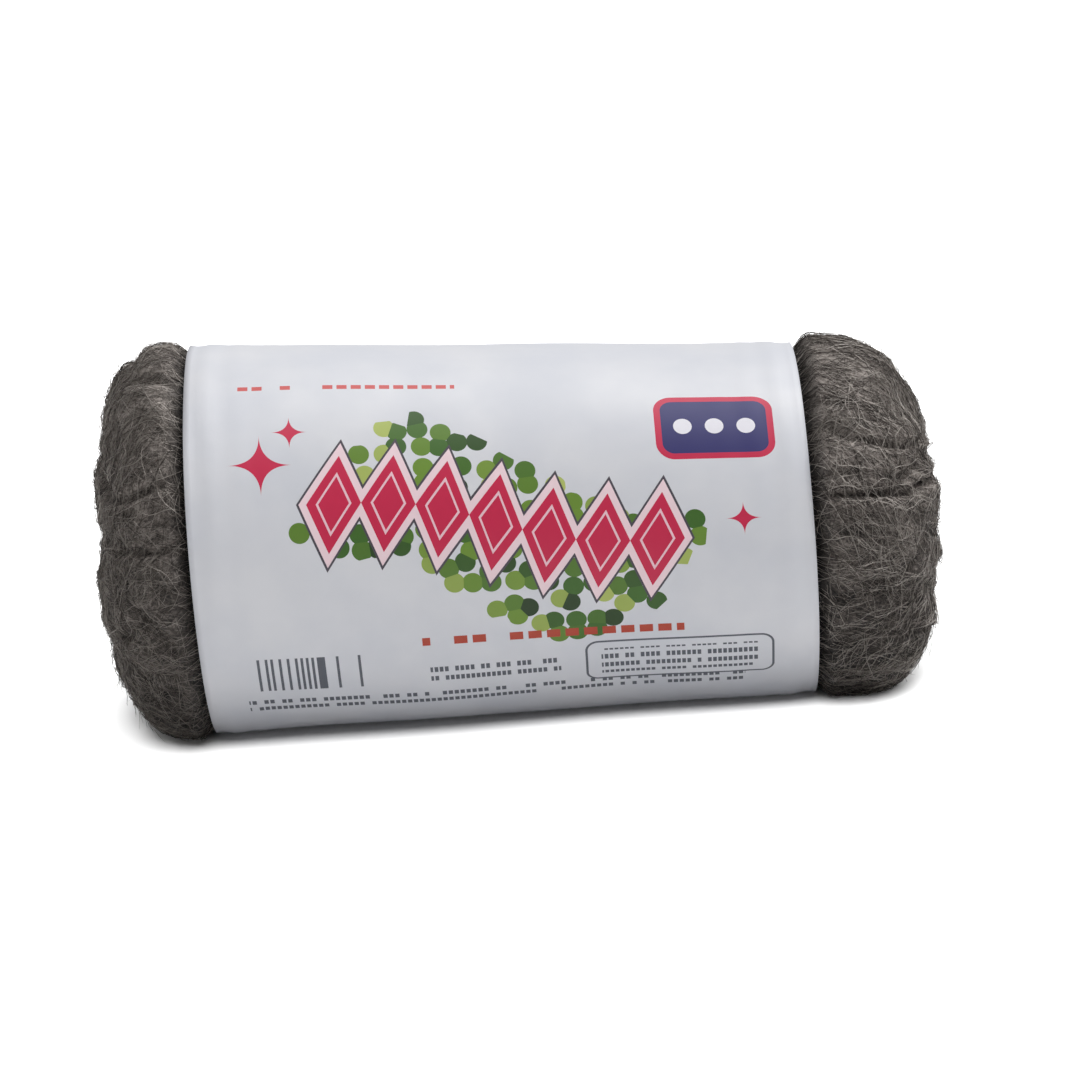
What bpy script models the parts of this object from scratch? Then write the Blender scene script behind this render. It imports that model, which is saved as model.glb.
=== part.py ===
"""A banded bundle of steel wool, lying on its side as it comes to rest.

The bundle is a skein of steel wool, folded back and forth until it is a soft, round-ended roll, and a paper
band that is wrapped round its middle and lapped at the back. The wool swells out past both edges of the band
and is a little thicker at its -X end. Everything is in metres. X runs along the bundle, Z is up, and the
origin is on the table under the middle of the bundle.
"""

import math

import bmesh
import bpy

# The bundle
LENGTH = 0.160
THICK_END_HEIGHT = 0.0746  # over the band, at its -X edge
THIN_END_HEIGHT = 0.0670  # over the band, at its +X edge
SIDE_SPREAD = 1.04  # the width over the height, because the wool settles under its own weight
SAG = 0.0012  # how far the table presses the underside flat

# The paper band
BAND_WIDTH = 0.1135
BAND_FROM_THICK_END = 0.0205
PAPER = 0.00012
LAP = 0.016  # how far the paper's end runs over its start
LAP_GAP = 0.00006  # the glue line between the two layers
LAP_RAMP = 0.004  # the stretch where the paper climbs onto its own start
SEAM_ANGLE = math.radians(196)  # where the paper starts: 0 is the front, 90 the top, 180 the back

# The wool's two ends
CLEARANCE = 0.0003  # between the paper and the wool under it
GROOVE_MARGIN = 0.0005  # how far the wool's groove runs past the paper's edges
GROOVE_WALL = 0.0035  # the length over which the wool swells out of the groove
THICK_END_SWELL = 0.0008
THIN_END_SWELL = 0.0017
THICK_END_DOME = 0.0165
THIN_END_DOME = 0.0210
DOME_SQUARENESS = 2.5  # the exponent of the domes' superellipse, 2 being an ellipse
THICK_END_DROOP = 0.04  # how far the tip sits below the axis, as a share of the half height
THIN_END_DROOP = 0.10

SIDES = 60
DOME_RINGS = 9
BAND_RINGS = 8

BAND_START = -LENGTH / 2 + BAND_FROM_THICK_END
BAND_END = BAND_START + BAND_WIDTH
GROOVE_START = BAND_START - GROOVE_MARGIN
GROOVE_END = BAND_END + GROOVE_MARGIN


def half_height(x):
    """Half the height of the banded surface at x. It tapers evenly from the thick end to the thin one."""
    share = (x - BAND_START) / BAND_WIDTH
    return (THICK_END_HEIGHT + (THIN_END_HEIGHT - THICK_END_HEIGHT) * share) / 2


def skin_point(x, angle, depth, share=1.0, droop=0.0):
    """A point of the bundle's section at x, depth inside the banded surface, or outside it if depth is negative.

    Below a share of 1 the section shrinks towards the tip of a dome, which droops below the axis.
    """
    base = half_height(x)
    high = (base - depth) * share
    wide = (base * SIDE_SPREAD - depth) * share
    middle = base - SAG - droop * base * (1 - share)
    floor = max(depth, 0.0)
    z = max(middle + high * math.sin(angle), floor)
    return (x, -wide * math.cos(angle), z)


def smooth_step(value):
    value = min(max(value, 0.0), 1.0)
    return value * value * (3 - 2 * value)


def dome_stations(tip, depth, inward):
    """(x, share) of the rings of one dome, from the ring next to the tip to the dome's foot."""
    stations = []
    for ring in range(1, DOME_RINGS + 1):
        turn = math.pi / 2 * ring / DOME_RINGS
        share = math.sin(turn) ** (2 / DOME_SQUARENESS)
        along = 1 - math.cos(turn) ** (2 / DOME_SQUARENESS) if ring < DOME_RINGS else 1.0
        stations.append((tip + inward * depth * along, share))
    return stations


def groove_depth(x):
    """How far the wool lies inside the banded surface: in its groove under the paper, and outside it elsewhere."""
    in_groove = PAPER + CLEARANCE
    if x < GROOVE_START:
        return in_groove - (in_groove + THICK_END_SWELL) * smooth_step((GROOVE_START - x) / GROOVE_WALL)
    if x > GROOVE_END:
        return in_groove - (in_groove + THIN_END_SWELL) * smooth_step((x - GROOVE_END) / GROOVE_WALL)
    return in_groove


def wool_stations():
    """(x, share, droop) of the wool's rings, from the -X tip to the +X tip, with each tip's own point first and last."""
    left_tip, right_tip = -LENGTH / 2, LENGTH / 2
    left = [(x, share, THICK_END_DROOP) for x, share in dome_stations(left_tip, THICK_END_DOME, 1)]
    right = [(x, share, THIN_END_DROOP) for x, share in dome_stations(right_tip, THIN_END_DOME, -1)]
    middle = [GROOVE_START - GROOVE_WALL / 2, GROOVE_START]
    middle += [GROOVE_START + (GROOVE_END - GROOVE_START) * i / BAND_RINGS for i in range(1, BAND_RINGS)]
    middle += [GROOVE_END, GROOVE_END + GROOVE_WALL / 2]
    return (
        [(left_tip, 0.0, THICK_END_DROOP)]
        + left
        + [(x, 1.0, 0.0) for x in middle]
        + right[::-1]
        + [(right_tip, 0.0, THIN_END_DROOP)]
    )


def material(name, colour, roughness, metallic):
    made = bpy.data.materials.new(name)
    made.use_nodes = True
    shader = made.node_tree.nodes["Principled BSDF"]
    shader.inputs["Base Color"].default_value = (*colour, 1.0)
    shader.inputs["Roughness"].default_value = roughness
    shader.inputs["Metallic"].default_value = metallic
    return made


def add_object(name, bm, collection, finish):
    mesh = bpy.data.meshes.new(name)
    bm.to_mesh(mesh)
    bm.free()
    mesh.shade_smooth()
    mesh.set_sharp_from_angle(angle=math.radians(40))
    mesh.materials.append(finish)
    obj = bpy.data.objects.new(name, mesh)
    collection.objects.link(obj)
    return obj


def make_wool_skein(collection):
    """The folded skein: a sphere whose poles lie along X, each ring of it moved out to the bundle's section."""
    stations = wool_stations()
    bm = bmesh.new()
    bmesh.ops.create_uvsphere(bm, u_segments=SIDES, v_segments=len(stations) - 1, radius=1.0)
    for vertex in bm.verts:
        lateral, up, along = vertex.co
        ring = round(math.acos(max(-1.0, min(1.0, -along))) / math.pi * (len(stations) - 1))
        x, share, droop = stations[ring]
        vertex.co = skin_point(x, math.atan2(up, lateral), groove_depth(x), share, droop)
    bmesh.ops.recalc_face_normals(bm, faces=bm.faces)
    finish = material("dull steel wool", (0.16, 0.15, 0.135), 0.55, 0.8)
    return add_object("wool_skein", bm, collection, finish)


def make_paper_band(collection):
    """The band: a flat grid of paper, wrapped once round the bundle until its end laps over its start."""
    girth_radius = half_height(0.0) * (1 + SIDE_SPREAD) / 2
    step = 2 * math.pi / SIDES
    lap_steps = round(LAP / girth_radius / step)
    ramp_steps = max(1, round(LAP_RAMP / girth_radius / step))
    bm = bmesh.new()
    bmesh.ops.create_grid(bm, x_segments=BAND_RINGS, y_segments=SIDES + lap_steps, size=0.5)
    for vertex in bm.verts:
        x = BAND_START + BAND_WIDTH * (vertex.co.x + 0.5)
        steps = round((vertex.co.y + 0.5) * (SIDES + lap_steps))
        climb = smooth_step((steps - (SIDES - ramp_steps)) / ramp_steps)
        depth = -(PAPER + LAP_GAP) * climb
        vertex.co = skin_point(x, SEAM_ANGLE + steps * step, depth)
    finish = material("coated white label paper", (0.86, 0.87, 0.89), 0.38, 0.0)
    band = add_object("paper_band", bm, collection, finish)
    thickness = band.modifiers.new("paper thickness", "SOLIDIFY")
    thickness.thickness = PAPER
    thickness.offset = -1.0
    thickness.use_even_offset = True
    return band


def main():
    for old in list(bpy.data.objects):
        bpy.data.objects.remove(old)
    collection = bpy.data.collections.new("steel_wool_bundle")
    bpy.context.scene.collection.children.link(collection)
    make_wool_skein(collection)
    make_paper_band(collection)


main()
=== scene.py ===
import math

import bmesh
import bpy
import numpy as np
from bpy.props import FloatProperty, FloatVectorProperty, IntProperty, PointerProperty
from mathutils import Euler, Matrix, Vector, noise


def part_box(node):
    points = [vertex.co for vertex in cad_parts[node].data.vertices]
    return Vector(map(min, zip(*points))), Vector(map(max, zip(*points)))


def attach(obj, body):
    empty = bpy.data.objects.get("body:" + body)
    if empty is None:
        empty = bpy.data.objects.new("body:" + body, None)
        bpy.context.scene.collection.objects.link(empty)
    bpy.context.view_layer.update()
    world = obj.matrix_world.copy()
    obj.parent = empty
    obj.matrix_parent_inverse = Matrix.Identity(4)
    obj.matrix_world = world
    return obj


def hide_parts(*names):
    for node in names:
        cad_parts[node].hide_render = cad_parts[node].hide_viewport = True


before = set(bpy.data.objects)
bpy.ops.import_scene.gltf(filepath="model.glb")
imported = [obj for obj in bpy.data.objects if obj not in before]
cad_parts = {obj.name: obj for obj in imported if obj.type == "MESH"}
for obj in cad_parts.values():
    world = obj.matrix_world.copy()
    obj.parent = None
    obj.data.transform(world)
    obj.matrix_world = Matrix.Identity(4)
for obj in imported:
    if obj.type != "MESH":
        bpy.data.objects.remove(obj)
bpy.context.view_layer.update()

bl_info = {
    "name": "Steel Wool Bundle",
    "version": (1, 0, 0),
    "blender": (4, 5, 0),
    "location": "View3D > Sidebar > Steel Wool",
    "description": "Dresses a banded bundle of steel wool: its mass, its fibres and its paper band",
    "category": "Object",
}

MM = 0.001
BAND_LOW, BAND_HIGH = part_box("paper_band")
SKEIN_LOW, SKEIN_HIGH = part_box("wool_skein")
PIECE_MAP = "OFBake"  # the name of each piece's own UV map
EDGE_TOLERANCE = 0.1 * MM  # a vertex of the band's mesh this near one of its edges is on it


def edge_height(x):
    """The height of the band at one of its edges, from the frame."""
    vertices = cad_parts["paper_band"].data.vertices
    return max(v.co.z for v in vertices if abs(v.co.x - x) < EDGE_TOLERANCE)


HEIGHT_AT_THICK_EDGE = edge_height(BAND_LOW.x)
HEIGHT_AT_THIN_EDGE = edge_height(BAND_HIGH.x)
BAND_WIDTH = BAND_HIGH.x - BAND_LOW.x


# ------------------------------------------------------------------ settings


def ink(hex_colour):
    """An sRGB hex colour as linear RGBA."""
    channels = [int(hex_colour[i : i + 2], 16) / 255 for i in (1, 3, 5)]
    return (*[c / 12.92 if c <= 0.04045 else ((c + 0.055) / 1.055) ** 2.4 for c in channels], 1.0)


def length_setting(name, description, default):
    return FloatProperty(
        name=name, description=description, default=default, unit="LENGTH", precision=5
    )


def colour_setting(name, description, hex_colour):
    return FloatVectorProperty(
        name=name, description=description, default=ink(hex_colour),
        size=4, min=0, max=1, subtype="COLOR",
    )


class SkeinSettings(bpy.types.PropertyGroup):
    """The steel wool's shape, its fibres and their colours"""

    thick_dome: length_setting("Thick Dome", "How far the thick end's dome reaches", 16.5 * MM)
    thin_dome: length_setting("Thin Dome", "How far the thin end's dome reaches", 21 * MM)
    thick_swell: length_setting("Thick Swell", "How far the thick end stands out past the band", -0.3 * MM)
    thin_swell: length_setting("Thin Swell", "How far the thin end stands out past the band", 0.4 * MM)
    lump_height: length_setting("Lump Height", "How far the soft lumps stand out", 1.5 * MM)
    crease_depth: length_setting("Crease Depth", "How deep the folds of the skein go", 2.4 * MM)
    fibre_width: length_setting("Fibre Width", "The width that a fibre is drawn at", 0.1 * MM)
    fibre_length: length_setting("Fibre Length", "The length of a fibre in the open", 15 * MM)
    fibres: IntProperty(
        name="Fibres", description="How many fibres each layer has", default=3100, min=10
    )
    dark: colour_setting("Dark Fibre", "The colour of a fibre's dull side", "#6c6560")
    bright: colour_setting("Bright Fibre", "The colour of a fibre's bright, shaved side", "#bfb8b1")


class BandSettings(bpy.types.PropertyGroup):
    """The paper band's shape and its inks"""

    lap: length_setting("Lap", "How far the paper's end runs over its start", 16 * MM)
    thickness: length_setting("Paper", "The paper's thickness", 0.12 * MM)
    dent_depth: length_setting("Dent Depth", "How deep the soft dents in the paper are", 0.6 * MM)
    paper: colour_setting("Paper Colour", "The bare paper", "#dfe0e5")
    paper_shade: colour_setting("Paper Shade", "The paper where it is a little duller", "#d6d8df")
    crimson: colour_setting("Crimson Ink", "The diamonds, the sparkles and the plate's rim", "#cc1f4b")
    navy: colour_setting("Navy Ink", "The plate with dots", "#2c2a6b")
    grey: colour_setting("Grey Ink", "The fine print, its frame and the bars", "#5c5f68")


class StageSettings(bpy.types.PropertyGroup):
    """The camera and the light"""

    camera_distance: length_setting("Camera Distance", "From the camera to the bundle's middle", 0.76)
    camera_elevation: FloatProperty(
        name="Camera Elevation", description="How far the camera is above the horizon",
        default=math.radians(15), subtype="ANGLE",
    )
    camera_roll: FloatProperty(
        name="Camera Roll", description="How far the camera is tilted",
        default=math.radians(-4.1), subtype="ANGLE",
    )
    lens: FloatProperty(
        name="Lens", description="The camera's focal length in millimetres", default=133.0
    )
    sky: FloatProperty(
        name="Sky", description="The strength of the even light from all round", default=0.4
    )
    floor_wash: FloatProperty(
        name="Floor Wash", description="The strength of the light that keeps the floor white", default=5.2
    )
    sun: FloatProperty(
        name="Sun", description="The strength of the soft light from above", default=2.4
    )


# ------------------------------------------------------------------ materials


MIX_UNDER, MIX_OVER, MIX_RESULT = 6, 7, 2  # the sockets of a Mix node that are for colours


def add(tree, kind, inputs=(), output=0, stops=(), **settings):
    """Adds a node with its settings and links, and returns one of its outputs.

    inputs is its inputs in order, or by name or number, as values or as other nodes' outputs.
    stops is the positions and colours of a colour ramp.
    """
    node = tree.nodes.new("ShaderNode" + kind)
    for name, value in settings.items():
        setattr(node, name, value)
    for key, value in inputs.items() if isinstance(inputs, dict) else enumerate(inputs):
        if isinstance(value, bpy.types.NodeSocket):
            tree.links.new(value, node.inputs[key])
        elif value is not None:
            node.inputs[key].default_value = value
    if stops:
        elements = node.color_ramp.elements
        while len(elements) < len(stops):
            elements.new(0.5)
        for element, (position, colour) in zip(elements, stops, strict=True):
            element.position = position
            element.color = colour
    return node.outputs[output]


def new_material(name, **values):
    """A material and its tree and shader, with plain values set on the shader's own sockets."""
    material = bpy.data.materials.new(name)
    material.use_nodes = True
    shader = material.node_tree.nodes["Principled BSDF"]
    for socket, value in values.items():
        shader.inputs[socket.replace("_", " ")].default_value = value
    return material, material.node_tree, shader


# ------------------------------------------------------------------ the bundle's shape


SAG = 1.2 * MM  # how far the table presses the underside flat
SIDE_SPREAD = 1.04  # the width over the height
LEAST_HEIGHT = 0.1 * MM  # above the table
PROFILE_POINTS = 600  # along a dome, from its tip to where it is widest
GROOVE = -2.2 * MM  # the wool's surface under the band's edge, from the band's own surface
GROOVE_WALL = 3.4 * MM  # over this length the wool swells out of the groove


def smooth_step(value):
    """A step from 0 to 1 with soft ends."""
    value = np.clip(value, 0.0, 1.0)
    return value * value * (3 - 2 * value)


def half_height(x):
    """Half the band's height at x, before the table presses it flat."""
    share = (x - BAND_LOW.x) / BAND_WIDTH
    change = HEIGHT_AT_THIN_EDGE - HEIGHT_AT_THICK_EDGE
    return (HEIGHT_AT_THICK_EDGE + change * share + SAG) / 2


class SkeinEnd:
    """One end of the skein. A place on it is a distance along its surface from the tip, and an angle
    round the axis, which is 0 at the front and a quarter turn at the top.

    inset is how far the bare surface keeps inside the CAD box, to leave room for lumps and fibres.
    squareness is 2 for an ellipse and more for a blunter dome. swell is how far the wool stands out
    past the band. droop is how far the tip hangs, as a share of the half height. The last argument is
    painted light: how much lighter the fibres are painted on top, where the light from above falls.
    """

    def __init__(self, box_tip, inward, box_dome, inset, squareness, swell, droop, band_edge, painted_top_light):
        self.inward, self.swell, self.droop, self.band_edge = inward, swell, droop, band_edge
        self.painted_top_light = painted_top_light
        tip, dome = box_tip + inward * inset, box_dome - inset
        turn = np.linspace(0, math.pi / 2, PROFILE_POINTS)
        self.x = tip + inward * dome * (1 - np.abs(np.cos(turn)) ** (2 / squareness))
        self.share = np.sin(turn) ** (2 / squareness)
        radius = self.share * half_height(tip + inward * dome)
        steps = np.hypot(np.diff(self.x), np.diff(radius))
        self.along = np.concatenate([[0], np.cumsum(steps)])
        self.lean = -inward * np.gradient(radius, self.along)
        self.rise = inward * np.gradient(self.x, self.along)
        self.length = self.along[-1]

    def place(self, along, angle, lift):
        """Points lifted from the wool's surface along its normal, and how far each is from the band."""
        x = np.interp(along, self.along, self.x) + self.inward * np.maximum(along - self.length, 0)
        share = np.interp(along, self.along, self.share)
        lean = np.interp(along, self.along, self.lean)
        rise = np.interp(along, self.along, self.rise)
        clear = self.inward * (self.band_edge - x)
        out = lift + GROOVE + (self.swell - GROOVE) * smooth_step(clear / GROOVE_WALL)
        base = half_height(x)
        middle = base - SAG - self.droop * base * (1 - share)
        y = -(base * SIDE_SPREAD * share + rise * out) * np.cos(angle)
        z = middle + (base * share + rise * out) * np.sin(angle)
        return np.stack([x + lean * out, y, np.maximum(z, LEAST_HEIGHT)], -1), clear


# How far apart the soft shapes are along the bundle, across it and upward. The shift gives each
# its own part of the noise.
LUMP_SIZE, LUMP_SHIFT = (19 * MM, 12 * MM, 12 * MM), 0
TUFT_SIZE, TUFT_SHIFT = (9 * MM, 3.6 * MM, 3.6 * MM), 7
WANDER_SIZE, WANDER_SHIFT = (40 * MM, 20 * MM, 22 * MM), 3
TUFT_SHARE = 0.6  # a tuft's height over a lump's
FOLD_PITCH = 13 * MM  # from one fold to the next, upward
FOLD_START = 0.75  # the folds' phase at the table, in pitches: none runs along the very top
FOLD_WANDER, FOLD_FRAY = 0.9, 0.1  # how far lumps and tufts bend a fold, in pitches
CREASE_WIDTH = 0.07  # in pitches
CREASE_BIAS = 0.7  # a crease is deep on a lump and fades out between lumps
ROLL_LUMP, ROLL_TUFT = 5 * MM, 1.2 * MM  # how far lumps and tufts bend a roll's lower edge
ROLL_LIP = 1 * MM  # over this height a roll's surface turns in at its lower edge
ROLL_FADE = 5 * MM  # below its edge the hollow under a roll fades out over this height
ROLL_BIAS = 0.9  # how deep the hollow is where the wool doesn't wander
RELIEF_START = 5 * MM  # lumps and folds grow to their full height over this length from the band
ROLLS = (
    # the end that a roll of folded wool is at (+1 is the thin one), and its lower edge's height and depth
    (1, 25 * MM, 0.9),
    (1, 46 * MM, 0.55),
    (1, 60 * MM, 0.3),
    (-1, 22 * MM, 0.55),
    (-1, 45 * MM, 0.55),
)


def soft_noise(point, size, shift):
    """Smooth noise between about -1 and 1, with soft shapes of this size."""
    x, y, z = point
    return noise.noise(Vector((x / size[0] + shift, y / size[1], z / size[2])))


def relief(points, clear, lump_height, crease_depth):
    """How far the wool's lumps, creases and rolls lift its surface.

    Creases run along the bundle and bend over its ends.
    """
    lifts = np.empty(len(points))
    for i, point in enumerate(points):
        x, _, z = point
        lump = soft_noise(point, LUMP_SIZE, LUMP_SHIFT)
        tuft = soft_noise(point, TUFT_SIZE, TUFT_SHIFT)
        wander = soft_noise(point, WANDER_SIZE, WANDER_SHIFT)
        fold = z / FOLD_PITCH + FOLD_START + FOLD_WANDER * wander + FOLD_FRAY * tuft
        crease = math.exp(-(((fold - round(fold)) / CREASE_WIDTH) ** 2))
        lifts[i] = lump_height * (lump + TUFT_SHARE * tuft)
        lifts[i] -= crease_depth * crease * max(0.0, CREASE_BIAS + lump)
        for side, height, depth in ROLLS:
            below = height - z + ROLL_LUMP * lump + ROLL_TUFT * tuft
            if side * x > 0 and below > -ROLL_LIP:
                lip = float(smooth_step(below / ROLL_LIP + 1))
                overhang = lip * math.exp(-max(0.0, below) / ROLL_FADE)
                lifts[i] -= depth * crease_depth * overhang * (ROLL_BIAS + wander)
    return lifts * smooth_step(clear / RELIEF_START)


def skein_ends(settings):
    # each end's last argument is painted light: its fibres are painted lighter on top, more at the thin end
    thick = SkeinEnd(
        SKEIN_LOW.x, 1, settings.thick_dome, inset=1.1 * MM, squareness=2.4,
        swell=settings.thick_swell, droop=0.12, band_edge=BAND_LOW.x, painted_top_light=0.3,
    )
    thin = SkeinEnd(
        SKEIN_HIGH.x, -1, settings.thin_dome, inset=1.5 * MM, squareness=2.8,
        swell=settings.thin_swell, droop=0.02, band_edge=BAND_HIGH.x, painted_top_light=0.55,
    )
    return thick, thin


def finish_piece(name, mesh, node, material):
    """Links a finished mesh as a piece that stands for a CAD node."""
    mesh.name = name
    mesh.materials.clear()
    mesh.materials.append(material)
    piece = bpy.data.objects.new(name, mesh)
    bpy.context.scene.collection.objects.link(piece)
    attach(piece, "root")
    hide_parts(node)
    return piece


# ------------------------------------------------------------------ the wool


def packed_wool():
    """Packed steel wool: shaved low-carbon steel, pressed together. The eye sees a dark, matted depth
    between the fibres. Beside the band it is painted nearly black, a painted shade for the crevice
    there, and it is painted lighter towards the top, a painted light where the light from above falls.
    """
    material, tree, shader = new_material("steel wool, shaved and packed", Metallic=0.3)
    place = add(tree, "TexCoord", output="Object")
    # the curls are coarser than real strands, which are too fine to be drawn
    curls = {"Vector": place, "Scale": 1 / (1.1 * MM), "Detail": 5.0, "Roughness": 0.65, "Distortion": 1.6}
    strands = add(tree, "TexNoise", curls)
    matting = add(tree, "TexNoise", {"Vector": place, "Scale": 1 / (5 * MM), "Detail": 2.0})
    x, _, height = add(tree, "SeparateXYZ", (place,)).node.outputs
    from_middle = add(tree, "Math", (x, (BAND_LOW.x + BAND_HIGH.x) / 2), operation="SUBTRACT")
    along = add(tree, "Math", (from_middle,), operation="ABSOLUTE")
    clear = add(tree, "Math", (along, BAND_WIDTH / 2), operation="SUBTRACT")
    # painted shade: within a few millimetres of the band the wool is painted near black, for the shaded
    # crevice there
    out_of_painted_shade = add(tree, "MapRange", (clear, 0.5 * MM, 4 * MM, 0.0, 1.0))
    # painted light: the wool is painted lighter towards the top, more so towards the thin end, where the
    # light from above falls
    up = add(tree, "Math", (height, 1 / (75 * MM), -0.5), operation="MULTIPLY_ADD")
    painted_top_light = add(tree, "MapRange", (x, BAND_LOW.x, BAND_HIGH.x, 0.3, 0.5))
    tone = add(tree, "Math", (matting, 0.5, strands), operation="MULTIPLY_ADD")
    tone = add(tree, "Math", (up, painted_top_light, tone), operation="MULTIPLY_ADD")
    stops = [(0.55, ink("#22201e")), (0.75, ink("#69625d")), (0.95, ink("#a69d97"))]
    wool = add(tree, "ValToRGB", (tone,), stops=stops)
    # the near black is painted shade beside the band
    painted_crevice_shade = {"Factor": out_of_painted_shade, MIX_UNDER: ink("#151413"), MIX_OVER: wool}
    colour = add(tree, "Mix", painted_crevice_shade, MIX_RESULT, data_type="RGBA")
    tree.links.new(colour, shader.inputs["Base Color"])
    tree.links.new(add(tree, "MapRange", (strands, 0.3, 0.7, 0.75, 0.5)), shader.inputs["Roughness"])
    bump = add(tree, "Bump", {"Strength": 0.9, "Distance": 0.35 * MM, "Height": strands})
    tree.links.new(bump, shader.inputs["Normal"])
    return material


def wool_fibre(settings):
    """Steel wool fibre: a shaving of low-carbon steel, lightly oiled. The eye sees fine threads, some with
    a soft glint where the shaved side is bright, and some dull grey-brown.
    """
    material, tree, shader = new_material("steel wool fibre, shaved and oiled", Metallic=0.85)
    # the tone carries painted light and painted shade: fibres are painted lighter on top and darker beside
    # the band, besides their random tone
    tone = add(tree, "Attribute", output="Fac", attribute_name="tone")
    stops = [(0.0, ink("#3f3b38")), (0.35, settings.dark), (0.7, ink("#a69f99")), (1.0, settings.bright)]
    colour = add(tree, "ValToRGB", (tone,), stops=stops)
    tree.links.new(colour, shader.inputs["Base Color"])
    tree.links.new(add(tree, "MapRange", (tone, 0.0, 1.0, 0.52, 0.34)), shader.inputs["Roughness"])
    return material


DOME_RINGS = 76  # of each end, from its tip to just under the band
HIDDEN_RINGS = 6  # under the band, from one end to the other
SKEIN_SIDES = 300
DOME_OVERLAP = 4 * MM  # how far each dome's rings run on under the band
HIDDEN_REACH = 30 * MM  # from there, how far half the hidden rings run


class BUNDLE_OT_add_skein(bpy.types.Operator):
    """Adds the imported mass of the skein, with its lumps and creases"""

    bl_idname = "bundle.add_skein"
    bl_label = "Add Skein"

    def execute(self, context):
        settings = context.scene.skein
        thick, thin = skein_ends(settings)
        rings = 2 * DOME_RINGS + HIDDEN_RINGS
        bm = bmesh.new()
        bm.loops.layers.uv.new(PIECE_MAP)
        bmesh.ops.create_uvsphere(bm, u_segments=SKEIN_SIDES, v_segments=rings, radius=1.0, calc_uvs=True)
        polar = np.array([math.acos(max(-1.0, min(1.0, -v.co.z))) for v in bm.verts])
        angle = np.array([math.atan2(v.co.y, v.co.x) for v in bm.verts])
        ring = np.round(polar / math.pi * rings)
        places = np.empty((len(bm.verts), 3))
        for end, count in ((thick, ring), (thin, rings - ring)):
            mine = count <= rings / 2
            reach = end.length + abs(end.band_edge - end.x[-1]) + DOME_OVERLAP
            steps = count[mine] / DOME_RINGS
            hidden = HIDDEN_REACH * np.maximum(steps - 1, 0) * DOME_RINGS / (HIDDEN_RINGS / 2)
            along = reach * np.minimum(steps, 1) + hidden
            points, clear = end.place(along, angle[mine], 0.0)
            lift = relief(points, clear, settings.lump_height, settings.crease_depth)
            places[mine] = end.place(along, angle[mine], lift)[0]
        for vertex, place in zip(bm.verts, places, strict=True):
            vertex.co = place
        bmesh.ops.recalc_face_normals(bm, faces=bm.faces)
        mesh = bpy.data.meshes.new("packed_wool")
        bm.to_mesh(mesh)
        bm.free()
        mesh.shade_smooth()
        piece = finish_piece("packed_wool", mesh, "wool_skein", packed_wool())
        return {"FINISHED"}


FIBRE_POINTS = 11
FIBRE_SIDES = 3
CAP_POINTS = 2 * FIBRE_SIDES
LOWEST_START = -0.12  # the cosine of a fibre's middle's angle from the tip, at most: just short of the band
COMB_SCALE, TUFT_SCALE = 2.3, 8  # of the noise that combs the fibres and of the noise that tints tufts
COMB_TURN, COMB_SPREAD = 1.3, 0.4  # how far the fibres are combed aside and scattered, in radians
STRAY_SHARE, STRAY_TURN = 0.22, 1.5  # fibres that lie any way, and how far they turn, in radians
LENGTH_SPREAD = (0.55, 1.35)  # of a fibre's length
FIBRE_WAVES = ((6, 0.07), (13, 0.05), (26, 0.022))  # a wave's radians to one of the dome's, and its width
WAVE_SPREAD = (0.3, 1.0)  # of a wave's width
RIPPLE_HEIGHT, RIPPLE_RATE = 0.12 * MM, 9  # of a fibre's rise and fall, the rate as for the waves
FREE_END_LIFT = (0.4, 2.4)  # in millimetres
EDGE_GAP, EDGE_SLOPE = 0.6 * MM, 0.8  # no fibre rises within the gap to the band, or past the slope there
PAINTED_SHADE_REACH = 1.8 * MM  # fibres this near the band are painted darker: painted shade for the crevice beside the band
COMB_TONE, TUFT_TONE, PAINTED_SHADE_TONE = 0.35, 0.3, 0.7  # how far each of these changes a fibre's tone; the last is painted shade beside the band


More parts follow.
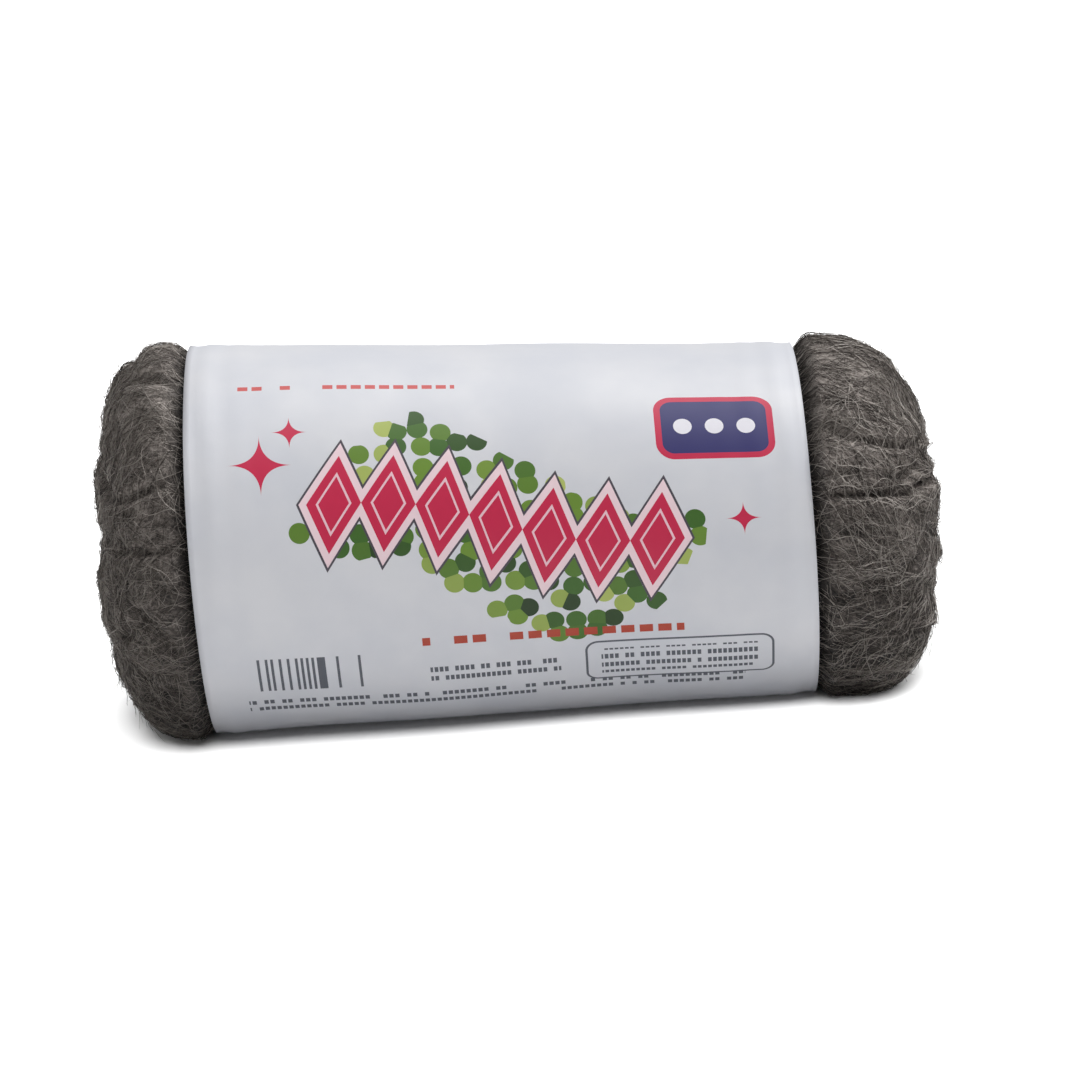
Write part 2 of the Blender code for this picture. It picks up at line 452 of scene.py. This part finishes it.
def fibre_routes(end, count, settings, rng, lifts, fly):
    """The routes of count fibres over one end, as an array of points for each fibre, and their tones.

    A fibre crosses the dome much as a great circle crosses a ball, so it mostly runs along the bundle
    and bends over the end. fly is the share of fibres with a free end.
    """
    polar = np.arccos(rng.uniform(LOWEST_START, 1.0, count))
    round_axis = rng.uniform(0, 2 * math.pi, count)
    sin_p, cos_p, sin_r, cos_r = np.sin(polar), np.cos(polar), np.sin(round_axis), np.cos(round_axis)
    start = np.stack([sin_p * cos_r, sin_p * sin_r, cos_p], 1)
    down = np.stack([cos_p * cos_r, cos_p * sin_r, -sin_p], 1)
    aside = np.stack([-sin_r, cos_r, np.zeros(count)], 1)
    combed = np.array([noise.noise(Vector(p * COMB_SCALE)) for p in start])
    heading = COMB_TURN * combed + rng.normal(0, COMB_SPREAD, count)
    strays = rng.random(count) < STRAY_SHARE
    heading[strays] = rng.uniform(-STRAY_TURN, STRAY_TURN, strays.sum())
    onward = np.cos(heading)[:, None] * down + np.sin(heading)[:, None] * aside
    across = np.cross(start, onward)
    per_radian = end.length / (math.pi / 2)
    span = settings.fibre_length / per_radian * rng.uniform(*LENGTH_SPREAD, count)
    t = np.linspace(-0.5, 0.5, FIBRE_POINTS)[None, :] * span[:, None]
    wave = np.zeros_like(t)
    for waves, width in FIBRE_WAVES:
        phase = rng.uniform(0, 2 * math.pi, (count, 1))
        wave += width * rng.uniform(*WAVE_SPREAD, (count, 1)) * np.sin(waves * t + phase)
    ball = np.cos(t)[..., None] * start[:, None] + np.sin(t)[..., None] * onward[:, None]
    ball = ball + wave[..., None] * across[:, None]
    ball /= np.linalg.norm(ball, axis=-1, keepdims=True)
    along = (np.arccos(np.clip(ball[..., 2], -1, 1)) * per_radian).ravel()
    angle = np.arctan2(ball[..., 1], ball[..., 0]).ravel()
    points, clear = end.place(along, angle, 0.0)
    base = relief(points, clear, settings.lump_height, settings.crease_depth)
    own = rng.uniform(*lifts, (count, 1))
    own = own + RIPPLE_HEIGHT * np.sin(RIPPLE_RATE * t + rng.uniform(0, 6.28, (count, 1)))
    free = (np.abs(t) / span[:, None] * 2) ** 3 * (t > 0)
    flies = rng.random(count) < fly
    end_lift = rng.uniform(*FREE_END_LIFT, count) * MM
    own = own + free * np.where(flies, end_lift, 0)[:, None]
    own = np.minimum(own.ravel(), np.maximum(clear - EDGE_GAP, 0) * EDGE_SLOPE)
    points, _ = end.place(along, angle, base + own)
    tufts = np.array([noise.noise(Vector(p * TUFT_SCALE)) for p in start])
    # painted shade: fibres near the band are painted darker, for the shaded crevice there
    from_band = np.maximum(clear, 0).reshape(count, FIBRE_POINTS).mean(1)
    painted_crevice_shade = np.exp(-from_band / PAINTED_SHADE_REACH)
    # painted light: the fibres are painted lighter on top, where the light from above falls
    tone = COMB_TONE * combed + TUFT_TONE * tufts + end.painted_top_light * start[:, 1] - PAINTED_SHADE_TONE * painted_crevice_shade
    return points.reshape(count, FIBRE_POINTS, 3), tone


TIP_WIDTH, TIP_SLOPE = 0.35, 3  # a fibre's width at its tip, and how fast it grows to its full width
CELL_SHAPE = 4  # rows to a column of the fibres' UV map
WELD_DISTANCE = 0.001 * MM


def fibre_mesh(routes, tones, width):
    """Fibres as one mesh of slim three-sided tubes, each with its tone and its own cell of the UV map.

    They are drawn coarser than real steel wool, so that single fibres can be seen.
    """
    section = bpy.data.curves.new("fibre_section", "CURVE")
    section.splines.new("POLY").points.add(FIBRE_SIDES - 1)
    for i, point in enumerate(section.splines[0].points):
        turn = 2 * math.pi * i / FIBRE_SIDES
        point.co = (width / 2 * math.cos(turn), width / 2 * math.sin(turn), 0, 1)
    section.splines[0].use_cyclic_u = True
    bevel = bpy.data.objects.new("fibre_section", section)
    curve = bpy.data.curves.new("fibres", "CURVE")
    curve.dimensions = "3D"
    curve.bevel_mode = "OBJECT"
    curve.bevel_object = bevel
    curve.use_fill_caps = True
    from_end = 1 - np.abs(np.linspace(-1, 1, FIBRE_POINTS))
    taper = np.minimum(1.0, TIP_WIDTH + TIP_SLOPE * from_end).astype(np.float32)
    for route in routes:
        spline = curve.splines.new("POLY")
        spline.points.add(FIBRE_POINTS - 1)
        spline.points.foreach_set("co", np.c_[route, np.ones(FIBRE_POINTS)].astype(np.float32).ravel())
        spline.points.foreach_set("radius", taper)
    strand = bpy.data.objects.new("fibres", curve)
    for made in (bevel, strand):
        bpy.context.scene.collection.objects.link(made)
    depsgraph = bpy.context.evaluated_depsgraph_get()
    mesh = bpy.data.meshes.new_from_object(strand.evaluated_get(depsgraph))
    for made in (bevel, strand):
        bpy.data.objects.remove(made)
    points_each = FIBRE_SIDES * FIBRE_POINTS + CAP_POINTS
    tone = mesh.attributes.new("tone", "FLOAT", "POINT")
    tone.data.foreach_set("value", np.repeat(tones, points_each).astype(np.float32))
    uv = np.empty((len(mesh.loops), 2), np.float32)
    mesh.uv_layers[0].uv.foreach_get("vector", uv.ravel())
    corner = np.empty(len(mesh.loops), np.int32)
    mesh.loops.foreach_get("vertex_index", corner)
    columns = math.ceil(math.sqrt(len(routes) / CELL_SHAPE))
    rows = math.ceil(len(routes) / columns)
    fibre = corner // points_each
    cell_u = fibre % columns + 0.05 + 0.9 * uv[:, 0]
    cell_v = fibre // columns + 0.1 + 0.8 * uv[:, 1]
    cells = np.stack([cell_u, cell_v], 1) / (columns, rows)
    mesh.uv_layers[0].uv.foreach_set("vector", cells.astype(np.float32).ravel())
    mesh.uv_layers[0].name = PIECE_MAP
    bm = bmesh.new()
    bm.from_mesh(mesh)
    bmesh.ops.remove_doubles(bm, verts=bm.verts, dist=WELD_DISTANCE)
    bmesh.ops.recalc_face_normals(bm, faces=bm.faces)
    bm.to_mesh(mesh)
    bm.free()
    return mesh


LAYERS = (
    # name, lowest and highest lift of its fibres, share of them with a free end that stands out
    ("fibres_inner", -0.35 * MM, 0.05 * MM, 0.0),
    ("fibres_middle", -0.15 * MM, 0.25 * MM, 0.03),
    ("fibres_outer", 0.0, 0.45 * MM, 0.15),
    ("fibres_loose", 0.1 * MM, 0.8 * MM, 0.35),
)


END_SHARES = (0.47, 0.53)  # the thick and the thin end's shares of the fibres
TONE_MIDDLE, TONE_SPREAD = 0.5, 0.11


class BUNDLE_OT_add_fibres(bpy.types.Operator):
    """Adds the fibres that lie over the skein's two ends, layer by layer"""

    bl_idname = "bundle.add_fibres"
    bl_label = "Add Fibres"

    def execute(self, context):
        settings = context.scene.skein
        material = wool_fibre(settings)
        for seed, (name, lowest, highest, fly) in enumerate(LAYERS):
            rng = np.random.default_rng(seed)
            routes, tones = [], []
            for end, share in zip(skein_ends(settings), END_SHARES, strict=True):
                count = round(settings.fibres * share)
                points, tone = fibre_routes(end, count, settings, rng, (lowest, highest), fly)
                routes.extend(points)
                tones.extend(np.clip(TONE_MIDDLE + tone + rng.normal(0, TONE_SPREAD, count), 0, 1))
            mesh = fibre_mesh(routes, np.array(tones), settings.fibre_width)
            finish_piece(name, mesh, "wool_skein", material)
        return {"FINISHED"}


# ------------------------------------------------------------------ the paper band


def block(tree, x, y, centre, half):
    """The mask of a block with square corners."""
    across = add(tree, "Math", (x, centre[0], half[0]), operation="COMPARE")
    up = add(tree, "Math", (y, centre[1], half[1]), operation="COMPARE")
    return add(tree, "Math", (across, up), operation="MULTIPLY")


def distance_from_block(tree, spot, centre, half=(0, 0)):
    """How far each spot is from a block, or from a point if the block has no size."""
    offset = add(tree, "VectorMath", (spot, (*centre, 0)), operation="SUBTRACT")
    folded = add(tree, "VectorMath", (offset,), operation="ABSOLUTE")
    outside = add(tree, "VectorMath", (folded, (*half, 0)), operation="SUBTRACT")
    corner = add(tree, "VectorMath", (outside, (0, 0, 0)), operation="MAXIMUM")
    return add(tree, "VectorMath", (corner,), "Value", operation="LENGTH")


def sparkle(tree, spot, centre, size):
    """The mask of a four-pointed star with hollow sides."""
    offset = add(tree, "VectorMath", (spot, (*centre, 0)), operation="SUBTRACT")
    folded = add(tree, "VectorMath", (offset,), operation="ABSOLUTE")
    parts = add(tree, "SeparateXYZ", (folded,)).node.outputs
    roots = [add(tree, "Math", (part, 0.5), operation="POWER") for part in parts[:2]]
    reach = add(tree, "Math", roots, operation="ADD")
    return add(tree, "Math", (reach, math.sqrt(size)), operation="LESS_THAN")


DASH_GAPS = 0.24  # the share of the places in a row that are left bare
DASH_ROW, DASH_LENGTH = 0.27, 0.72  # half a dash's height over the rows' pitch, its length over a stroke's


def fine_print(tree, x, y, centre, half, pitch, stroke):
    """The mask of rows of small dashes, which stand where lines of text would and say nothing."""
    row = add(tree, "Math", (y, pitch), operation="DIVIDE")
    column = add(tree, "Math", (x, stroke), operation="DIVIDE")
    row_number = add(tree, "Math", (row,), operation="FLOOR")
    pair = add(tree, "CombineXYZ", (add(tree, "Math", (column,), operation="FLOOR"), row_number))
    draw = add(tree, "TexWhiteNoise", {"Vector": pair}, noise_dimensions="2D")
    inked = add(tree, "Math", (draw, DASH_GAPS), operation="GREATER_THAN")
    up_row = add(tree, "Math", (row,), operation="FRACT")
    in_row = add(tree, "Math", (up_row, 0.5, DASH_ROW), operation="COMPARE")
    along_stroke = add(tree, "Math", (column,), operation="FRACT")
    in_stroke = add(tree, "Math", (along_stroke, DASH_LENGTH), operation="LESS_THAN")
    mask = block(tree, x, y, centre, half)
    for part in (inked, in_row, in_stroke):
        mask = add(tree, "Math", (mask, part), operation="MULTIPLY")
    return mask


# The print's sizes are in millimetres, from its middle to the right and up.
DIAMOND_PITCH = 9.8
ROW_REACH = 3 * DIAMOND_PITCH  # from the row's middle to the middle of its last diamond
DIAMOND_HALF = (4.9, 9.2)
ROW_SWING, ROW_SWING_RATE = 1.6, 0.11  # how far the row swings up and down, and radians to the millimetre
BUBBLE_CELL = 3.8
BUBBLE_RADIUS = 0.5  # in cells
DRIFT_SWING, DRIFT_SWING_RATE = 9.0, 0.085  # as for the row
DRIFT_REACH = 39.0  # from the drift's middle to either end
DRIFT_HALF = 17.0  # half its width in the middle
BAR_WIDTH = 0.5
GREENS = [(0.0, ink("#1f3a14")), (0.35, ink("#3f6a22")), (0.65, ink("#6f9231")), (1.0, ink("#b7c46a"))]


def diamond_row(tree, spot, centre, tilt):
    """How far each spot is outside a wavy row of diamonds."""
    place = {"Vector": spot, "Location": (*centre, 0), "Rotation": (0, 0, tilt)}
    own = add(tree, "Mapping", place, vector_type="TEXTURE")
    x, y = add(tree, "SeparateXYZ", (own,)).node.outputs[:2]
    turn = add(tree, "Math", (x, ROW_SWING_RATE), operation="MULTIPLY")
    swing = add(tree, "Math", (turn,), operation="SINE")
    offset = add(tree, "Math", (swing, ROW_SWING, y), operation="MULTIPLY_ADD")
    across = add(tree, "Math", (offset,), operation="ABSOLUTE")
    along = add(tree, "Math", (x, DIAMOND_PITCH / 2), operation="PINGPONG")
    from_middle = add(tree, "Math", (x,), operation="ABSOLUTE")
    past_last = add(tree, "Math", (from_middle, ROW_REACH), operation="SUBTRACT")
    along = add(tree, "Math", (along, past_last), operation="MAXIMUM")
    side = math.hypot(*DIAMOND_HALF)
    folded = add(tree, "CombineXYZ", (along, across))
    normal = (DIAMOND_HALF[1] / side, DIAMOND_HALF[0] / side, 0)
    reach = add(tree, "VectorMath", (folded, normal), "Value", operation="DOT_PRODUCT")
    return add(tree, "Math", (reach, DIAMOND_HALF[0] * DIAMOND_HALF[1] / side), operation="SUBTRACT")


def bubbles(tree, spot):
    """The mask and the tint of a drift of round bubbles, in greens from leaf to lime.

    The drift's edge cuts no bubble, but close neighbours cut each other.
    """
    cells = {"Vector": spot, "Scale": 1 / BUBBLE_CELL, "Randomness": 0.7}
    drawn = add(tree, "TexVoronoi", cells, voronoi_dimensions="2D").node.outputs
    middle_x, middle_y = add(tree, "SeparateXYZ", (drawn["Position"],)).node.outputs[:2]
    turn = add(tree, "Math", (middle_x, DRIFT_SWING_RATE), operation="MULTIPLY")
    swing = add(tree, "Math", (turn,), operation="SINE")
    offset = add(tree, "Math", (swing, DRIFT_SWING, middle_y), operation="MULTIPLY_ADD")
    across = add(tree, "Math", (offset,), operation="ABSOLUTE")
    share = add(tree, "Math", (middle_x, DRIFT_REACH), operation="DIVIDE")
    squared = add(tree, "Math", (share, share), operation="MULTIPLY")
    width = add(tree, "Math", (squared, -DRIFT_HALF, DRIFT_HALF), operation="MULTIPLY_ADD")
    in_drift = add(tree, "Math", (across, width), operation="LESS_THAN")
    in_bubble = add(tree, "Math", (drawn["Distance"], BUBBLE_RADIUS), operation="LESS_THAN")
    mask = add(tree, "Math", (in_drift, in_bubble), operation="MULTIPLY")
    shade = add(tree, "SeparateColor", (drawn["Color"],))
    return mask, add(tree, "ValToRGB", (shade,), stops=GREENS)


def bars(tree, x, y, centre, half):
    """The mask of upright bars of chance widths, which aren't a code."""
    column = add(tree, "Math", (x, BAR_WIDTH), operation="DIVIDE")
    number = add(tree, "Math", (column,), operation="FLOOR")
    draw = add(tree, "TexWhiteNoise", {"W": number}, noise_dimensions="1D")
    dark = add(tree, "Math", (draw, 0.5), operation="GREATER_THAN")
    return add(tree, "Math", (dark, block(tree, x, y, centre, half)), operation="MULTIPLY")


ROW_PLACE, ROW_TILT = (-1, 2), math.radians(-9)
PLATE_PLACE, PLATE_HALF = (40, 20), (7.5, 3.6)
PLATE_RIM, PLATE_FIELD = 3.4, 2.2  # the radii of the plate's corners, to its rim's and its field's edge
DOTS, DOT_RADIUS = (34.2, 40, 45.8), 1.7
SPARKLES = (((-43, 14), 6.0), ((-37.5, 20.5), 3.4), ((44, 1), 3.4))  # centre, size
RED_RULES = (
    # centre, half size, rows' pitch, stroke, ink
    ((-27, 31), (20, 1.0), 2.0, 2.6, ink("#cf5a58")),
    ((8, -20.8), (24, 1.6), 3.2, 3.4, ink("#b5442f")),
)
GREY_RULES = (
    # centre, half size, rows' pitch, stroke
    ((31, -29), (14.5, 3.6), 2.4, 0.95),
    ((-3, -29), (12, 2.4), 2.4, 0.95),
    ((-3, -36), (46, 2.4), 2.4, 1.1),
)
FRAME_PLACE, FRAME_HALF = (31, -29), (15, 3.2)
FRAME_RADIUS, FRAME_LINE = 2.2, 0.22
BARS_PLACE, BARS_HALF = (-37, -27), (10.5, 4.2)


def label_paper(settings, length, front):
    """Label paper: white, clay coated and printed in flat inks. The eye sees an even, cool white with
    a faint mottle, a soft satin shine and clean-edged colours.

    length is the paper's length round the bundle, and front the print's middle as a share of it.
    """
    material, tree, shader = new_material("label paper, clay coated and printed")
    u, v = add(tree, "SeparateXYZ", (add(tree, "UVMap", uv_map=PIECE_MAP),)).node.outputs[:2]
    x = add(tree, "Math", (u, BAND_WIDTH / MM, -BAND_WIDTH / MM / 2), operation="MULTIPLY_ADD")
    y = add(tree, "Math", (v, length / MM, -front * length / MM), operation="MULTIPLY_ADD")
    spot = add(tree, "CombineXYZ", (x, y))
    crimson, navy, grey = settings.crimson, settings.navy, settings.grey

    # each ink's mask and tint, in the order that they are laid
    inks = [bubbles(tree, spot)]
    outside = diamond_row(tree, spot, ROW_PLACE, ROW_TILT)
    for reach, tint in (
        (1.6, ink("#4d4650")),
        (1.2, ink("#f6dbe2")),
        (0.0, crimson),
        (-1.5, ink("#f3c9d4")),
        (-1.9, crimson),
    ):
        inks.append((add(tree, "Math", (outside, reach), operation="LESS_THAN"), tint))
    plate = distance_from_block(tree, spot, PLATE_PLACE, PLATE_HALF)
    for radius, tint in ((PLATE_RIM, crimson), (PLATE_FIELD, navy)):
        inks.append((add(tree, "Math", (plate, radius), operation="LESS_THAN"), tint))
    for x_dot in DOTS:
        from_dot = distance_from_block(tree, spot, (x_dot, PLATE_PLACE[1]))
        inks.append((add(tree, "Math", (from_dot, DOT_RADIUS), operation="LESS_THAN"), ink("#eceaf2")))
    inks += [(sparkle(tree, spot, *place), crimson) for place in SPARKLES]
    inks += [(fine_print(tree, x, y, *rule), tint) for *rule, tint in RED_RULES]
    from_frame = distance_from_block(tree, spot, FRAME_PLACE, FRAME_HALF)
    inks.append((add(tree, "Math", (from_frame, FRAME_RADIUS, FRAME_LINE), operation="COMPARE"), grey))
    inks += [(fine_print(tree, x, y, *rule), grey) for rule in GREY_RULES]
    inks.append((bars(tree, x, y, BARS_PLACE, BARS_HALF), grey))

    # the mottle and the grain are drawn coarser than real paper fibres, so that they can be seen
    mottle = add(tree, "TexNoise", {"Vector": spot, "Scale": 0.06, "Detail": 3.0}, noise_dimensions="2D")
    colour = add(tree, "ValToRGB", (mottle,), stops=[(0.3, settings.paper_shade), (0.7, settings.paper)])
    for mask, tint in inks:
        layer = {"Factor": mask, MIX_UNDER: colour, MIX_OVER: tint}
        colour = add(tree, "Mix", layer, MIX_RESULT, data_type="RGBA")
    tree.links.new(colour, shader.inputs["Base Color"])
    tree.links.new(add(tree, "MapRange", (mottle, 0.3, 0.7, 0.5, 0.42)), shader.inputs["Roughness"])
    grain = add(tree, "TexNoise", {"Vector": spot, "Scale": 2.5, "Detail": 3.0}, noise_dimensions="2D")
    bump = add(tree, "Bump", {"Strength": 0.12, "Distance": 0.05 * MM, "Height": grain})
    tree.links.new(bump, shader.inputs["Normal"])
    return material


BAND_STEPS = (96, 220)  # along the bundle and round it
SEAM_ANGLE = math.radians(196)  # where the paper starts, as an angle round the bundle
FRONT_ANGLE = math.radians(374)  # the middle of the print
LAP_CLIMB = 0.11  # over this angle, in radians, the paper climbs on to its own start
LAP_GAP = 0.08 * MM  # between the two layers of the lap
DENT_LENGTH, DENT_TURNS = 34 * MM, 1.3  # the dents' size along the bundle, and the noise's radius round it
DENT_BIAS = 0.5  # sinks the paper between the dents
EDGE_ROLL, EDGE_ROLL_WIDTH = 0.35 * MM, 7 * MM  # how far the edges are rolled in, and over what width
RIPPLE, RIPPLE_LENGTH, RIPPLE_FADE = 0.22 * MM, 0.9 * MM, 6 * MM  # height, length to a radian, and fade
RIPPLE_BEND = 2  # how far the dents bend the ripples


class BUNDLE_OT_add_band(bpy.types.Operator):
    """Adds the paper band, wrapped once round the skein and lapped at the back"""

    bl_idname = "bundle.add_band"
    bl_label = "Add Band"

    def execute(self, context):
        settings = context.scene.band
        radius = half_height(0.0) * (1 + SIDE_SPREAD) / 2
        lap_angle = settings.lap / radius
        whole_angle = 2 * math.pi + lap_angle
        bm = bmesh.new()
        bm.loops.layers.uv.new(PIECE_MAP)
        along, around = BAND_STEPS
        bmesh.ops.create_grid(bm, x_segments=along, y_segments=around, size=0.5, calc_uvs=True)
        for vertex in bm.verts:
            share, turned = vertex.co.x + 0.5, vertex.co.y + 0.5
            x = BAND_LOW.x + BAND_WIDTH * share
            angle = SEAM_ANGLE + whole_angle * turned
            climb = float(smooth_step((whole_angle * turned - 2 * math.pi + LAP_CLIMB) / LAP_CLIMB))
            edge = min(x - BAND_LOW.x, BAND_HIGH.x - x)
            round_y, round_z = DENT_TURNS * math.cos(angle), DENT_TURNS * math.sin(angle)
            dent = noise.noise(Vector((x / DENT_LENGTH, round_y, round_z)))
            depth = settings.dent_depth * (DENT_BIAS + dent) - climb * (settings.thickness + LAP_GAP)
            depth += EDGE_ROLL * (1 - min(1, edge / EDGE_ROLL_WIDTH)) ** 2
            ripple = math.sin(edge / RIPPLE_LENGTH + RIPPLE_BEND * dent)
            depth += RIPPLE * ripple * math.exp(-edge / RIPPLE_FADE)
            base = half_height(x)
            y = -(base * SIDE_SPREAD - depth) * math.cos(angle)
            z = base - SAG + (base - depth) * math.sin(angle)
            vertex.co = (x, y, max(z, 0.0))
        mesh = bpy.data.meshes.new("printed_band")
        bm.to_mesh(mesh)
        bm.free()
        mesh.shade_smooth()
        front = (FRONT_ANGLE - SEAM_ANGLE) / whole_angle
        material = label_paper(settings, radius * whole_angle, front)
        piece = finish_piece("printed_band", mesh, "paper_band", material)
        paper = piece.modifiers.new("paper thickness", "SOLIDIFY")
        paper.thickness = settings.thickness
        paper.offset = -1.0
        return {"FINISHED"}


# ------------------------------------------------------------------ the stage


FLOOR_HALF = 4.0
FLOOR_GREY = 0.93
SOFT_BOX_ANGLE, SOFT_BOX_TURN = math.radians(60), (math.radians(-10), math.radians(27), 0)
WASH_ANGLE, WASH_TURN = math.radians(25), (math.radians(45), 0, 0)
SENSOR_WIDTH = 36  # in millimetres
CAMERA_AIM = (4 * MM, 0, 31.3 * MM)


def add_sun(name, strength, angle, turn):
    """Adds a sun and returns its object. angle is how wide the sun is, and turn is its rotation."""
    sun = bpy.data.objects.new(name, bpy.data.lights.new(name, "SUN"))
    sun.data.energy = strength
    sun.data.angle = angle
    sun.rotation_euler = Euler(turn)
    bpy.context.scene.collection.objects.link(sun)
    return sun


class BUNDLE_OT_add_stage(bpy.types.Operator):
    """Adds the floor, the light and the camera"""

    bl_idname = "bundle.add_stage"
    bl_label = "Add Stage"

    def execute(self, context):
        settings = context.scene.stage
        scene = context.scene
        white = (FLOOR_GREY, FLOOR_GREY, FLOOR_GREY, 1)
        # matt white card: the eye sees an even white with no shine
        card, _, _ = new_material("photo studio floor, matt white card", Roughness=0.9, Base_Color=white)
        bm = bmesh.new()
        bmesh.ops.create_grid(bm, x_segments=1, y_segments=1, size=FLOOR_HALF)
        mesh = bpy.data.meshes.new("floor")
        bm.to_mesh(mesh)
        bm.free()
        mesh.materials.append(card)
        floor = bpy.data.objects.new("floor", mesh)
        scene.collection.objects.link(floor)
        world = bpy.data.worlds.new("studio")
        world.use_nodes = True
        background = world.node_tree.nodes["Background"]
        background.inputs["Color"].default_value = (1, 1, 1, 1)
        background.inputs["Strength"].default_value = settings.sky
        scene.world = world
        add_sun("soft box", settings.sun, SOFT_BOX_ANGLE, SOFT_BOX_TURN)
        # this one lights the floor only, and with no bounce it doesn't light the bundle from below
        wash = add_sun("floor wash", settings.floor_wash, WASH_ANGLE, WASH_TURN)
        wash.data.cycles.max_bounces = 0
        floor_only = bpy.data.collections.new("floor only")
        floor_only.objects.link(floor)
        wash.light_linking.receiver_collection = floor_only
        camera = bpy.data.objects.new("camera", bpy.data.cameras.new("camera"))
        camera.data.lens = settings.lens
        camera.data.sensor_width = SENSOR_WIDTH
        rise = settings.camera_elevation
        back = Vector((0, -math.cos(rise), math.sin(rise)))
        camera.location = Vector(CAMERA_AIM) + back * settings.camera_distance
        camera.rotation_euler = (-back).to_track_quat("-Z", "Y").to_euler()
        camera.rotation_euler.rotate_axis("Z", settings.camera_roll)
        scene.collection.objects.link(camera)
        scene.camera = camera
        scene.view_settings.view_transform = "Standard"
        return {"FINISHED"}


class BUNDLE_PT_parts(bpy.types.Panel):
    """A button for each piece or group of pieces, and the settings under them"""

    bl_label = "Steel Wool Bundle"
    bl_space_type = "VIEW_3D"
    bl_region_type = "UI"
    bl_category = "Steel Wool"

    def draw(self, context):
        for operator in OPERATORS:
            self.layout.operator(operator.bl_idname)
        for group in SETTINGS:
            for name in SETTINGS[group].__annotations__:
                self.layout.prop(getattr(context.scene, group), name)


OPERATORS = (BUNDLE_OT_add_stage, BUNDLE_OT_add_skein, BUNDLE_OT_add_fibres, BUNDLE_OT_add_band)
SETTINGS = {"skein": SkeinSettings, "band": BandSettings, "stage": StageSettings}
CLASSES = (*SETTINGS.values(), *OPERATORS, BUNDLE_PT_parts)


def register():
    for made in CLASSES:
        bpy.utils.register_class(made)
    for name, group in SETTINGS.items():
        setattr(bpy.types.Scene, name, PointerProperty(type=group))


def unregister():
    for name in SETTINGS:
        delattr(bpy.types.Scene, name)
    for made in reversed(CLASSES):
        bpy.utils.unregister_class(made)


def main():
    register()
    bpy.ops.bundle.add_stage()
    bpy.ops.bundle.add_skein()
    bpy.ops.bundle.add_fibres()
    bpy.ops.bundle.add_band()


if __name__ == "__main__":
    main()
